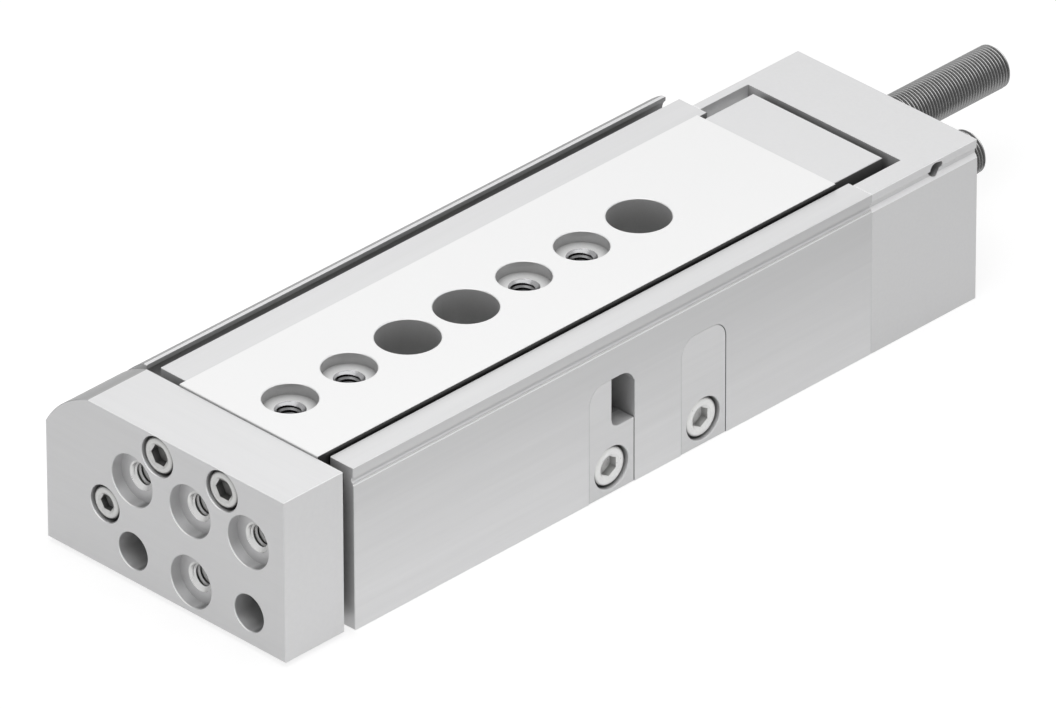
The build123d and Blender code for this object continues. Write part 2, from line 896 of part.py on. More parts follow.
with BuildPart() as piston_magnet:
    magnet_outside = piston_radius - magnet_inside
    extrude(
        ring_sketch(across(magnet_y), bore_place, magnet_outside, piston_radius - magnet_depth),
        amount=magnet_width,
    )
save(piston_magnet.part, "piston_magnet")

# Ball cages and balls
ball_ys = [cage_middle + ball_pitch * (i - (balls_per_side - 1) / 2) for i in range(balls_per_side)]
for side, suffix in ((-1, "left"), (1, "right")):
    line_x = slide_offset + side * ball_line
    with BuildPart() as cage:
        with BuildSketch(Plane(origin=(line_x, 0, 0), x_dir=(0, 1, 0), z_dir=(1, 0, 0))):
            with Locations((cage_middle, ball_height)):
                Rectangle(cage_length, cage_height)
            with Locations(*[(y, ball_height) for y in ball_ys]):
                Circle(ball_radius + cage_hole_clearance, mode=Mode.SUBTRACT)
        extrude(amount=cage_thickness / 2, both=True)
    save(cage.part, f"ball_cage_{suffix}")
    with BuildPart() as balls:
        with BuildSketch(Plane(origin=(line_x, 0, 0), x_dir=(0, 1, 0), z_dir=(1, 0, 0))):
            with Locations(*[(y, ball_height) for y in ball_ys]):
                RegularPolygon(ball_radius, ball_sides)
            with Locations((cage_middle, ball_height)):
                Rectangle(cage_length, cage_length, align=(Align.CENTER, Align.MAX), mode=Mode.SUBTRACT)
        revolve(axis=Axis((line_x, 0, ball_height), (0, 1, 0)))
    save(balls.part, f"balls_{suffix}")

# Retract stop: the long threaded rod, with an elastomer tip
retract_tip_y = end_rear_y + stop_contact_gap + buffer_thickness
retract_end_y = rear_y + retract_stop_reach
with BuildPart() as retract_stop_rod:
    extrude(discs(across(retract_end_y), [retract_place], stop_radius), amount=retract_end_y - retract_tip_y)
    extrude(
        hexagons(across(retract_end_y), [retract_place], stop_hex), amount=stop_hex_depth, mode=Mode.SUBTRACT
    )
    chamfer(rims(retract_stop_rod, stop_radius), stop_break)
    extrude(
        discs(across(retract_tip_y), [retract_place], buffer_stem_radius),
        amount=-buffer_stem_length,
        mode=Mode.SUBTRACT,
    )
save(retract_stop_rod.part, "retract_stop_rod")

with BuildPart() as retract_buffer:
    extrude(discs(across(retract_tip_y), [retract_place], buffer_radius), amount=buffer_thickness)
    extrude(discs(across(retract_tip_y), [retract_place], buffer_stem_radius), amount=-buffer_stem_length)
save(retract_buffer.part, "retract_buffer")

# Advance stop: the short threaded sleeve, and the pull rod whose head catches the lug
sleeve_front_y = end_rear_y + stop_standoff + advance_adjustment
advance_end_y = rear_y + advance_stop_reach
head_rear_y = advance_contact_y - buffer_thickness
with BuildPart() as advance_stop_sleeve:
    extrude(discs(across(advance_end_y), [advance_place], stop_radius), amount=advance_end_y - sleeve_front_y)
    extrude(
        hexagons(across(advance_end_y), [advance_place], stop_hex), amount=stop_hex_depth, mode=Mode.SUBTRACT
    )
    chamfer(rims(advance_stop_sleeve, stop_radius), stop_break)
    extrude(
        discs(across(sleeve_front_y), [advance_place], pull_rod_radius),
        amount=-pull_rod_grip,
        mode=Mode.SUBTRACT,
    )
save(advance_stop_sleeve.part, "advance_stop_sleeve")

with BuildPart() as advance_pull_rod:
    extrude(
        discs(across(sleeve_front_y + pull_rod_grip), [advance_place], pull_rod_radius),
        amount=sleeve_front_y + pull_rod_grip - head_rear_y,
    )
    extrude(discs(across(head_rear_y), [advance_place], pull_head_radius), amount=pull_head_length)
save(advance_pull_rod.part, "advance_pull_rod")

with BuildPart() as advance_buffer:
    extrude(
        ring_sketch(across(advance_contact_y), advance_place, pull_head_radius, pull_rod_radius),
        amount=buffer_thickness,
    )
save(advance_buffer.part, "advance_buffer")
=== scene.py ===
import json
import math

import bmesh
import bpy
from mathutils import Matrix, Vector


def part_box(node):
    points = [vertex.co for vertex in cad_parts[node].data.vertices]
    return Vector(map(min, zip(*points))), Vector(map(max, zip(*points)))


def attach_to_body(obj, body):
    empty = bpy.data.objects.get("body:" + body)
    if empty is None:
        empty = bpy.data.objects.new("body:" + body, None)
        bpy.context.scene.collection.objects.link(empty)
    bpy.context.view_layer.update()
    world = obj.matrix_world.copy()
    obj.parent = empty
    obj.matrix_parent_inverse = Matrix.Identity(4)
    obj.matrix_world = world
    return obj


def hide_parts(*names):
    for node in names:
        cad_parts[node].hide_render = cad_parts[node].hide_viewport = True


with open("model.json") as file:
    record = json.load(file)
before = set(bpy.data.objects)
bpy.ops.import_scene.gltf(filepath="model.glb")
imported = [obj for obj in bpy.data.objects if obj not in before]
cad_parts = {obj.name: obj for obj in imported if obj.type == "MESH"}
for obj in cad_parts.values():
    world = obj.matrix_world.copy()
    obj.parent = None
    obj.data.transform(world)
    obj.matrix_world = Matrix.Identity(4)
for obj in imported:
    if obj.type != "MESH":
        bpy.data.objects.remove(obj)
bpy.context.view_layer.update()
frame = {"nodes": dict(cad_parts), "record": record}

# The pneumatic mini slide, dressed. Everything is in metres, in the frame of the CAD model:
# X across the slide to the right, Y to the rear, Z up.
MM = 0.001
AXES = (Vector((1, 0, 0)), Vector((0, 1, 0)), Vector((0, 0, 1)))
FORWARD, REARWARD, RIGHTWARD = (0, -1, 0), (0, 1, 0), (1, 0, 0)


def millimetres(**sizes):
    """Sizes that are given in millimetres, in metres."""
    return {name: size * MM for name, size in sizes.items()}


# Meshes: the points around every round shape, the distance below which two points are one, the
# angle from which an edge stays sharp, and the gap between a piece and the surface it lies on
COLUMNS = 48
WELD = 1e-7
SHARP_ANGLE = math.radians(28)
SKIN = 0.01 * MM

# Threads: pitch, and the radii of crest and root. The outline gives the level at shares of the
# pitch. In the tapped holes the crests stand inwards.
THREAD_OUTLINE = ((0.0, "root"), (0.12, "root"), (0.44, "crest"), (0.56, "crest"))
STOP_THREAD = millimetres(pitch=0.5, crest=3.0, root=2.7)
MOUNT_THREAD = millimetres(pitch=0.7, crest=1.42, root=1.63)

# Threaded stops: the radius of their chamfered ends, the blind bore in front and the hexagon
# socket at the rear
STOP_END_RADIUS = 2.6 * MM
STOP_SOCKET = millimetres(across=3.0, depth=3.0, cone=0.5)
RETRACT_BORE = millimetres(radius=1.2, depth=3.0)
ADVANCE_BORE = millimetres(radius=1.7, depth=8.0)

# Tapped holes: their radius, the break of their edge, and the length of the thread
MOUNT_HOLE_RADIUS = 1.65 * MM
MOUNT_HOLE_BREAK = 0.35 * MM
TABLE_THREAD_LENGTH = 5.5 * MM
YOKE_THREAD_LENGTH = 8.1 * MM

# Screws: radius and height of the head, radius of the shank, and the socket's width across flats
# and depth. The rest is the same on all of them. Heads less than the last value off the middle
# of their node's box are one screw.
M3_SCREW = millimetres(head=2.45, height=2.0, shank=1.4, hexagon=2.5, depth=1.3)
M3_LOW_SCREW = millimetres(head=2.65, height=1.6, shank=1.4, hexagon=2.5, depth=1.3)
M25_SCREW = millimetres(head=2.2, height=1.8, shank=1.15, hexagon=2.0, depth=1.1)
HEAD_ROUNDING = 0.5 * MM
HEAD_STEPS = 4
SHANK_CHAMFER = 0.3 * MM
SOCKET_MOUTH = 0.25 * MM
SOCKET_CONE = 0.35 * MM
SINGLE_SCREW_REACH = 0.1 * MM

# Grain: cells per metre along X, Y and Z, the look of its noise, the part of the noise's range
# that is used, and how relief and gloss follow it
ALONG_Y = (1400, 45, 1400)
ALONG_X = (45, 1400, 1400)
EVEN = (2200, 2200, 2200)
GRAIN_DETAIL = 5.0
BAND_DETAIL = 3.0
NOISE_ROUGHNESS = 0.6
NOISE_MIDDLE = (0.3, 0.7)
RELIEF_STRENGTH = 0.35
GLOSS_PER_SPREAD = 2.5
WIDEST_GLOSS_SPREAD = 0.05

# Painted light and shade: the height where the painted light on the sides is neutral, how far a
# face looks around for others, and the share of the open that counts as none. Two kinds of
# painted shade in cavities follow, with the share of the open from which a face keeps its full
# tone, and the tone at the deepest place.
SIDE_MIDDLE = 0.013
CAVITY_REACH = 9 * MM
CAVITY_SAMPLES = 12
CLOSED_SHARE = 0.05
SHALLOW = {"full_share": 0.5, "deepest": 0.2}
DEEP = {"full_share": 0.9, "deepest": 0.12}

# Where a painted highlight starts, as the cosine of the angle to its direction. A painted
# highlight lightens the aluminium's broken edges that look up, to the front and to the right.
GLINT_START = 0.75
PAINTED_EDGE_HIGHLIGHT = {"direction": (0.5, -0.5, 0.707), "low": 1.0, "high": 1.6}

# How near to a node's outermost place a face counts as its flank, for the painted shade there
FLANK_DEPTH = 0.04 * MM

# Painted shade for a light from the right: the X of the normal over which a slope to the left
# darkens, and over which a face that looks fully to the left brightens again, with the tone it
# ends in
SLOPE_START, SLOPE_END = -0.1, -0.35
LEFT_START, LEFT_END, LEFT_TONE = -0.9, -1.0, 0.85


def attach(tree, socket, value):
    """Feeds an input with another node's output or with a value of its own."""
    if isinstance(value, bpy.types.NodeSocket):
        tree.links.new(value, socket)
    else:
        socket.default_value = value


def maths(tree, operation, *values):
    """The result of a Math node."""
    node = tree.nodes.new("ShaderNodeMath")
    node.operation = operation
    for index, value in enumerate(values):
        attach(tree, node.inputs[index], value)
    return node.outputs["Value"]


def ramp(tree, value, start, end, low, high, interpolation="LINEAR"):
    """low where a value is at start, high where it is at end, and level beyond them."""
    node = tree.nodes.new("ShaderNodeMapRange")
    node.interpolation_type = interpolation
    node.inputs["From Min"].default_value = start
    node.inputs["From Max"].default_value = end
    node.inputs["To Min"].default_value = low
    node.inputs["To Max"].default_value = high
    tree.links.new(value, node.inputs["Value"])
    return node.outputs["Result"]


def coordinate(tree, kind):
    """Object for the place on the part, Normal for where a face looks, Generated for the
    direction in the world."""
    return tree.nodes.new("ShaderNodeTexCoord").outputs[kind]


def component(tree, vector, axis):
    """One of the three numbers of a vector."""
    parts = tree.nodes.new("ShaderNodeSeparateXYZ")
    tree.links.new(vector, parts.inputs["Vector"])
    return parts.outputs[axis]


def along(tree, vector, direction):
    """How far a vector goes along a direction."""
    node = tree.nodes.new("ShaderNodeVectorMath")
    node.operation = "DOT_PRODUCT"
    tree.links.new(vector, node.inputs[0])
    node.inputs[1].default_value = direction
    return node.outputs["Value"]


def stretched_noise(tree, cells, detail):
    """Noise that is finer or coarser along each axis of the part, by its cells per metre."""
    mapping = tree.nodes.new("ShaderNodeMapping")
    mapping.inputs["Scale"].default_value = cells
    noise = tree.nodes.new("ShaderNodeTexNoise")
    noise.inputs["Scale"].default_value = 1.0
    noise.inputs["Detail"].default_value = detail
    noise.inputs["Roughness"].default_value = NOISE_ROUGHNESS
    tree.links.new(coordinate(tree, "Object"), mapping.inputs["Vector"])
    tree.links.new(mapping.outputs["Vector"], noise.inputs["Vector"])
    return noise.outputs["Fac"]


def around(tree, noise, level, spread):
    """A level that varies with the middle of a noise, by a spread to each side."""
    return ramp(tree, noise, *NOISE_MIDDLE, level - spread, level + spread)


def painted_side_light_tone(tree, foot, front):
    """Painted light on the sides: on faces that look sideways, a tone that falls with height and
    to the rear, how much per metre, from 1 at the part's middle height. Other faces stay at 1."""
    slope = along(tree, coordinate(tree, "Object"), (0, -front, -foot))
    level = maths(tree, "ADD", slope, foot * SIDE_MIDDLE)
    sideways = maths(tree, "ABSOLUTE", component(tree, coordinate(tree, "Normal"), "X"))
    return maths(tree, "MULTIPLY_ADD", level, sideways, 1.0)


def painted_cavity_shade(tree, full_share, deepest):
    """Painted shade in holes, slots and gaps: 1 on faces that see at least a share of the open,
    falling to the deepest tone where they see nothing of it."""
    open_share = tree.nodes.new("ShaderNodeAmbientOcclusion")
    open_share.samples = CAVITY_SAMPLES
    open_share.inputs["Distance"].default_value = CAVITY_REACH
    return ramp(tree, open_share.outputs["AO"], CLOSED_SHARE, full_share, deepest, 1.0)


def painted_glint(tree, direction, low, high):
    """A painted highlight: a tone that rises smoothly from low to high where a face looks in a
    direction.
    """
    facing = along(tree, coordinate(tree, "Normal"), direction)
    return ramp(tree, facing, GLINT_START, 1.0, low, high, "SMOOTHSTEP")


def painted_flank_shade_tone(tree, node, tone):
    """Painted shade, as in a narrow gap, on the outermost faces of a node to the left and right,
    and else 1.
    """
    low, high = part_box(node)
    reach = (high.x - low.x) / 2
    place = component(tree, coordinate(tree, "Object"), "X")
    offset = maths(tree, "SUBTRACT", place, (low.x + high.x) / 2)
    distance = maths(tree, "ABSOLUTE", offset)
    return ramp(tree, distance, reach - FLANK_DEPTH, reach - SKIN, 1.0, tone)


def painted_lee_shade(tree, deepest):
    """Painted shade for a light from the right: 1 on faces that look up, to the front or to the
    right, the deepest tone on those that slope to the left, and somewhat less than 1 on those that
    look fully to the left."""
    facing = component(tree, coordinate(tree, "Normal"), "X")
    slope = ramp(tree, facing, SLOPE_END, SLOPE_START, deepest, 1.0)
    side = ramp(tree, facing, LEFT_END, LEFT_START, LEFT_TONE, deepest)
    return maths(tree, "MAXIMUM", slope, side)


finishes = {}


def add_finish(
    name,
    colour,
    metallic,
    roughness,
    grain,
    spread,
    relief=None,
    bands=None,
    painted_side_light=None,
    left=None,
    painted_highlight=None,
    painted_flank_shade=None,
    shade=SHALLOW,
    right=None,
):
    """A surface with grain: its colour, gloss and relief follow the same stretched noise, the
    colour by a spread and the relief by a height in metres. The colour also has these tones:
    bands, wide ones with cells per metre and a spread; fade, painted light on the sides, as in
    painted_side_light_tone; left, painted shade on slopes to the left, as in lee; shine, a painted
    highlight, as in glint; painted_flank_shade, painted shade on the outermost sides, as in
    flanks; and shade, painted shade in cavities, as in cavity, where faces that look to the right
    keep at least the tone that right gives, as painted light from the right."""
    material = bpy.data.materials.new(name)
    material.use_nodes = True
    tree = material.node_tree
    shader = tree.nodes["Principled BSDF"]
    shader.inputs["Metallic"].default_value = metallic

    fine = stretched_noise(tree, grain, GRAIN_DETAIL)
    tones = [around(tree, fine, 1, spread)]
    if bands:
        wide = stretched_noise(tree, bands["cells"], BAND_DETAIL)
        tones.append(around(tree, wide, 1, bands["spread"]))
    # Painted light on the sides
    if painted_side_light:
        tones.append(painted_side_light_tone(tree, **painted_side_light))
    # Painted shade on slopes to the left, for a light from the right
    if left:
        tones.append(painted_lee_shade(tree, left))
    # Painted highlights where faces look one way
    if painted_highlight:
        tones.append(painted_glint(tree, **painted_highlight))
    # Painted shade on the outermost sides
    if painted_flank_shade:
        tones.append(painted_flank_shade_tone(tree, **painted_flank_shade))
    # Painted shade in holes, slots and gaps
    depth = painted_cavity_shade(tree, **shade)
    # Painted light from the right: faces that look to the right keep at least this tone in
    # cavities
    if right:
        depth = maths(tree, "MAXIMUM", depth, painted_glint(tree, RIGHTWARD, 0.0, right))
    tones.append(depth)

    total = tones[0]
    for tone in tones[1:]:
        total = maths(tree, "MULTIPLY", total, tone)
    scale = tree.nodes.new("ShaderNodeVectorMath")
    scale.operation = "SCALE"
    scale.inputs[0].default_value = colour
    tree.links.new(total, scale.inputs["Scale"])
    tree.links.new(scale.outputs["Vector"], shader.inputs["Base Color"])

    gloss_spread = min(WIDEST_GLOSS_SPREAD, GLOSS_PER_SPREAD * spread)
    tree.links.new(around(tree, fine, roughness, gloss_spread), shader.inputs["Roughness"])
    if relief:
        bump = tree.nodes.new("ShaderNodeBump")
        bump.inputs["Strength"].default_value = RELIEF_STRENGTH
        bump.inputs["Distance"].default_value = relief
        tree.links.new(fine, bump.inputs["Height"])
        tree.links.new(bump.outputs["Normal"], shader.inputs["Normal"])
    finishes[name] = material


ALUMINIUM = {"metallic": 0.3, "roughness": 0.42}
RUBBER = {"metallic": 0.0, "roughness": 0.6, "grain": EVEN, "relief": 0.012 * MM}

add_finish(
    "housing_aluminium",
    colour=(0.76, 0.76, 0.765),
    **ALUMINIUM,
    grain=ALONG_Y,
    spread=0.015,
    relief=0.004 * MM,
    bands={"cells": (90, 6, 420), "spread": 0.02},
    # Painted light on the sides, lighter towards the bottom and the front
    painted_side_light={"foot": 12.5, "front": 1.3},
    # Painted shade on slopes to the left, for a light from the right
    left=0.35,
    # Painted highlights on broken edges that look up, to the front and to the right
    painted_highlight=PAINTED_EDGE_HIGHLIGHT,
    shade={"full_share": 0.5, "deepest": 0.3},
)
add_finish(
    "rear_block_aluminium",
    colour=(0.77, 0.77, 0.775),
    **ALUMINIUM,
    grain=EVEN,
    spread=0.015,
    relief=0.006 * MM,
    # Painted shade on slopes to the left, for a light from the right
    left=0.5,
    # Painted highlights on broken edges that look up, to the front and to the right
    painted_highlight=PAINTED_EDGE_HIGHLIGHT,
    # Painted light from the right on faces that look to the right, also in the pocket
    right=1.0,
)
add_finish(
    "end_block_aluminium",
    colour=(0.78, 0.78, 0.785),
    **ALUMINIUM,
    grain=EVEN,
    spread=0.01,
    relief=0.004 * MM,
    # Painted shade on the end block's outermost sides, beside the gaps next to it
    painted_flank_shade={"node": "end_block", "tone": 0.55},
    shade=DEEP,
)
add_finish(
    "yoke_aluminium",
    colour=(0.77, 0.77, 0.775),
    **ALUMINIUM,
    grain=ALONG_X,
    spread=0.015,
    relief=0.004 * MM,
    # Painted light on the sides, lighter towards the bottom and the front
    painted_side_light={"foot": 2.0, "front": 1.6},
    # Painted shade on slopes to the left, for a light from the right
    left=0.44,
    # Painted highlights on broken edges that look up, to the front and to the right
    painted_highlight=PAINTED_EDGE_HIGHLIGHT,
    shade={"full_share": 0.95, "deepest": 0.65},
)
add_finish(
    "cover_aluminium",
    colour=(0.8, 0.8, 0.805),
    metallic=0.3,
    roughness=0.4,
    grain=ALONG_Y,
    spread=0.02,
    relief=0.006 * MM,
    shade={"full_share": 0.5, "deepest": 0.45},
)
add_finish(
    "piston_aluminium",
    colour=(0.74, 0.74, 0.75),
    metallic=0.8,
    roughness=0.35,
    grain=ALONG_X,
    spread=0.03,
    relief=0.008 * MM,
)
add_finish(
    "table_steel",
    colour=(0.93, 0.93, 0.93),
    metallic=0.3,
    roughness=0.32,
    grain=EVEN,
    spread=0.004,
    # Painted shade on the table's outermost sides, beside the gaps to the rails
    painted_flank_shade={"node": "slide_table", "tone": 0.08},
    shade=DEEP,
)
add_finish(
    "track_steel",
    colour=(0.42, 0.42, 0.43),
    metallic=0.9,
    roughness=0.25,
    grain=ALONG_Y,
    spread=0.04,
    relief=0.004 * MM,
    shade=DEEP,
)
add_finish(
    "screw_steel",
    colour=(0.62, 0.62, 0.61),
    metallic=0.7,
    roughness=0.34,
    grain=EVEN,
    spread=0.05,
    relief=0.005 * MM,
    shade={"full_share": 0.9, "deepest": 0.05},
)
add_finish(
    "bright_screw_steel",
    colour=(0.86, 0.86, 0.85),
    metallic=0.55,
    roughness=0.32,
    grain=EVEN,
    spread=0.04,
    relief=0.006 * MM,
)
add_finish(
    "pin_steel",
    colour=(0.6, 0.6, 0.61),
    metallic=0.9,
    roughness=0.25,
    grain=ALONG_Y,
    spread=0.03,
    relief=0.004 * MM,
)
add_finish(
    "stop_steel",
    colour=(0.5, 0.5, 0.5),
    metallic=0.9,
    roughness=0.25,
    grain=EVEN,
    spread=0.04,
    relief=0.001 * MM,
    # Painted reflection: a bright band where the rods look up and a little to the right, darker
    # elsewhere
    painted_highlight={"direction": (0.37, 0.0, 0.93), "low": 0.65, "high": 2.0},
    shade={"full_share": 0.8, "deepest": 0.35},
)
add_finish(
    "rod_steel",
    colour=(0.78, 0.78, 0.79),
    metallic=1.0,
    roughness=0.12,
    grain=ALONG_X,
    spread=0.02,
    relief=0.002 * MM,
)
add_finish(
    "ball_steel",
    colour=(0.8, 0.8, 0.81),
    metallic=1.0,
    roughness=0.08,
    grain=EVEN,
    spread=0.01,
    relief=0.001 * MM,
)
add_finish(
    "bush_bronze",
    colour=(0.6, 0.42, 0.22),
    metallic=0.9,
    roughness=0.45,
    grain=EVEN,
    spread=0.12,
    relief=0.012 * MM,
)
add_finish(
    "cage_plastic",
    colour=(0.8, 0.78, 0.7),
    metallic=0.0,
    roughness=0.5,
    grain=EVEN,
    spread=0.02,
    relief=0.006 * MM,
)
add_finish(
    "seal_rubber",
    colour=(0.03, 0.03, 0.03),
    spread=0.2,
    **RUBBER,
)
add_finish(
    "buffer_elastomer",
    colour=(0.12, 0.125, 0.13),
    spread=0.15,
    **RUBBER,
)
add_finish(
    "magnet_black",
    colour=(0.06, 0.06, 0.065),
    metallic=0.3,
    roughness=0.55,
    grain=EVEN,
    spread=0.2,
    relief=0.012 * MM,
)

for part in frame["record"]["subparts"]:
    for slot in frame["nodes"][part["node"]].material_slots:
        slot.material = finishes[part["material_slot"]]


def ring(radius, height):
    """A level ring of points."""
    return [
        (radius * math.cos(angle), radius * math.sin(angle), height)
        for angle in (2 * math.pi * c / COLUMNS for c in range(COLUMNS))
    ]


def hexagon(across, height):
    """A level hexagon with the same number of points as a ring, its corners among them."""
    points = []
    for c in range(COLUMNS):
        angle = 2 * math.pi * c / COLUMNS
        radius = across / 2 / math.cos(angle % (math.pi / 3) - math.pi / 6)
        points.append((radius * math.cos(angle), radius * math.sin(angle), height))
    return points


def skin(shape, rows, climb=0):
    """Faces between neighbouring rows of points. On a helix the last point of a row joins the
    first point of the row that lies climb rows higher."""
    points = [[shape.verts.new(p) for p in row] for row in rows]
    for j in range(len(rows) - 1 - climb):
        for c in range(COLUMNS):
            n, up = (c + 1, j) if c + 1 < COLUMNS else (0, j + climb)
            shape.faces.new((points[j][c], points[up][n], points[up + 1][n], points[j + 1][c]))


def thread(shape, form, length, limit):
    """The surface of a thread between its two ends. limit gives the radius at a height from the
    thread's own radius there."""
    rows = []
    for turn in range(-1, math.ceil(length / form["pitch"]) + 2):
        for phase, level in THREAD_OUTLINE:
            row = []
            for c in range(COLUMNS):
                height = (turn + phase + c / COLUMNS) * form["pitch"]
                height = min(max(height, 0), length)
                radius = limit(form[level], height)
                angle = 2 * math.pi * c / COLUMNS
                row.append((radius * math.cos(angle), radius * math.sin(angle), height))
            rows.append(row)
    skin(shape, rows, climb=len(THREAD_OUTLINE))


def standing(origin, direction):
    """Places a shape that is built upwards from its origin so that it points along a direction."""
    turn = Vector((0, 0, 1)).rotation_difference(Vector(direction))
    return Matrix.Translation(origin) @ turn.to_matrix().to_4x4()


def piece(name, fill, places, body, material):
    """One piece made of a closed shape, which fill builds, at each of its places."""
    one = bmesh.new()
    fill(one)
    bmesh.ops.remove_doubles(one, verts=one.verts, dist=WELD)
    bmesh.ops.dissolve_degenerate(one, edges=one.edges, dist=WELD)
    bmesh.ops.recalc_face_normals(one, faces=one.faces)
    built = bpy.data.meshes.new("built")
    one.to_mesh(built)
    one.free()

    whole = bmesh.new()
    for place in places:
        placed = built.copy()
        placed.transform(place)
        whole.from_mesh(placed)
        bpy.data.meshes.remove(placed)
    bpy.data.meshes.remove(built)
    mesh = bpy.data.meshes.new(name)
    whole.to_mesh(mesh)
    whole.free()

    mesh.polygons.foreach_set("use_smooth", [True] * len(mesh.polygons))
    mesh.set_sharp_from_angle(angle=SHARP_ANGLE)
    mesh.materials.append(finishes[material])
    thing = bpy.data.objects.new(name, mesh)
    bpy.context.scene.collection.objects.link(thing)
    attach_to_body(thing, body)
    return thing


def stop_rod(length, bore):
    """A threaded stop from its front end: blind bore, thread, chamfered rear end with a socket."""

    def limit(radius, height):
        return min(radius, STOP_END_RADIUS + min(height, length - height))

    def fill(shape):
        thread(shape, STOP_THREAD, length, limit)
        front = [
            ring(0, bore["depth"]),
            ring(bore["radius"], bore["depth"]),
            ring(bore["radius"], 0),
            ring(STOP_END_RADIUS, 0),
        ]
        skin(shape, front)
        across = STOP_SOCKET["across"]
        bottom = length - STOP_SOCKET["depth"]
        rear = [
            ring(STOP_END_RADIUS, length),
            ring(across / math.sqrt(3) + SOCKET_MOUTH, length),
            hexagon(across, length - SOCKET_MOUTH),
            hexagon(across, bottom),
            ring(0, bottom - STOP_SOCKET["cone"]),
        ]
        skin(shape, rear)

    return fill


def mount_thread(length):
    """The thread in a tapped hole, as a lining of the hole and of its countersunk mouth."""
    inside = MOUNT_HOLE_RADIUS - SKIN
    outside = MOUNT_HOLE_RADIUS + 2 * SKIN

    def limit(radius, height):
        flare = max(0, MOUNT_HOLE_BREAK - height)
        return max(radius + flare, inside + flare - min(height, length - height))

    def fill(shape):
        thread(shape, MOUNT_THREAD, length, limit)
        back = [
            ring(inside + MOUNT_HOLE_BREAK, 0),
            ring(outside + MOUNT_HOLE_BREAK, 0),
            ring(outside, MOUNT_HOLE_BREAK),
            ring(outside, length),
            ring(inside, length),
        ]
        skin(shape, back)

    return fill


def socket_screw(size, length):
    """A socket screw with its head's underside at the origin: rounded head, hexagon socket."""
    head, height, shank = size["head"], size["height"], size["shank"]
    across, bottom = size["hexagon"], height - size["depth"]

    def fill(shape):
        rows = [
            ring(0, -length),
            ring(shank - SHANK_CHAMFER, -length),
            ring(shank, SHANK_CHAMFER - length),
            ring(shank, 0),
            ring(head, 0),
        ]
        for step in range(HEAD_STEPS + 1):
            turn = math.radians(90 * step / HEAD_STEPS)
            radius = head - HEAD_ROUNDING * (1 - math.cos(turn))
            rows.append(ring(radius, height - HEAD_ROUNDING * (1 - math.sin(turn))))
        rows += [
            ring(across / math.sqrt(3) + SOCKET_MOUTH, height),
            hexagon(across, height - SOCKET_MOUTH),
            hexagon(across, bottom),
            ring(0, bottom - SOCKET_CONE),
        ]
        skin(shape, rows)

    return fill


def middle(node):
    """Middle of a node's box."""
    low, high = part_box(node)
    return (low + high) / 2


# The two threaded stops, each in place of its plain node
for node, body, bore in (
    ("retract_stop_rod", "retract_stop", RETRACT_BORE),
    ("advance_stop_sleeve", "advance_stop", ADVANCE_BORE),
):
    low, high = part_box(node)
    start = middle(node)
    start.y = low.y
    fill = stop_rod(high.y - low.y, bore)
    rod = piece(f"{node}_thread", fill, [standing(start, REARWARD)], body, "stop_steel")
    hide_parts(node)

# Socket screws, each set in place of its plain node: one screw, or two at the ends of its box
for node, body, size, direction, material in (
    ("yoke_screws", "slide", M3_SCREW, FORWARD, "screw_steel"),
    ("rod_screw", "slide", M25_SCREW, FORWARD, "screw_steel"),
    ("end_block_screws", "slide", M3_SCREW, REARWARD, "screw_steel"),
    ("rear_block_screws", "housing", M3_SCREW, REARWARD, "screw_steel"),
    ("cover_plate_screws", "housing", M3_LOW_SCREW, RIGHTWARD, "bright_screw_steel"),
):
    low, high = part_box(node)
    axis, row = (0, 1) if direction == RIGHTWARD else (1, 0)
    seat = middle(node)
    seat[axis] = high[axis] if direction[axis] > 0 else low[axis]
    seat -= Vector(direction) * size["height"]
    length = high[axis] - low[axis] - size["height"]
    reach = (high[row] - low[row]) / 2 - size["head"]
    offsets = [0.0] if reach < SINGLE_SCREW_REACH else [-reach, reach]
    places = [standing(seat + AXES[row] * offset, direction) for offset in offsets]
    if node == "rear_block_screws":
        # A third one sits between the two, in line with the table
        inner = seat.copy()
        inner.x = middle("slide_table").x
        places.append(standing(inner, direction))
    screws = piece(f"{node}_detailed", socket_screw(size, length), places, body, material)
    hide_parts(node)

# Threads in the tapped holes: a mount of the record is a pair of holes, with the middle of their
# mouths, the way they open and their distance
mounts = {mount["name"]: mount for mount in frame["record"]["mounts"]}
TABLE_PAIRS = ("table_threads_front", "table_threads_rear")
YOKE_PAIRS = ("yoke_threads_outer", "yoke_threads_middle")
for name, length, material, pairs in (
    ("table_threads", TABLE_THREAD_LENGTH, "track_steel", TABLE_PAIRS),
    ("yoke_threads", YOKE_THREAD_LENGTH, "bright_screw_steel", YOKE_PAIRS),
):
    places = []
    for pair in pairs:
        mount = mounts[pair]
        sizes = mount["dims"]
        inwards = -Vector(mount["axis"])
        # The record's x and y spacing run along the two axes across the hole
        first, second = [way for way in AXES if abs(inwards.dot(way)) < 0.5]
        spacing = first * sizes.get("spacing_x_mm", 0) + second * sizes.get("spacing_y_mm", 0)
        for side in (-0.5, 0.5):
            start = Vector(mount["pos_m"]) + spacing * MM * side
            start -= inwards * (MOUNT_HOLE_BREAK - SKIN)
            places.append(standing(start, inwards))
    piece(name, mount_thread(length), places, "slide", material)


# Light: the grey of the floor, the white it adds where it is seen, and the room's level, which
# fades in just above the horizon
WHITE = (1.0, 1.0, 1.0, 1.0)
FLOOR_REACH = 3.0
FLOOR_GREY = (0.8, 0.8, 0.8, 1.0)
FLOOR_SHOWN_WHITE = 0.6
FLOOR_WHITE_STRENGTH = 1.3
ROOM = 0.24
HORIZON = 0.01


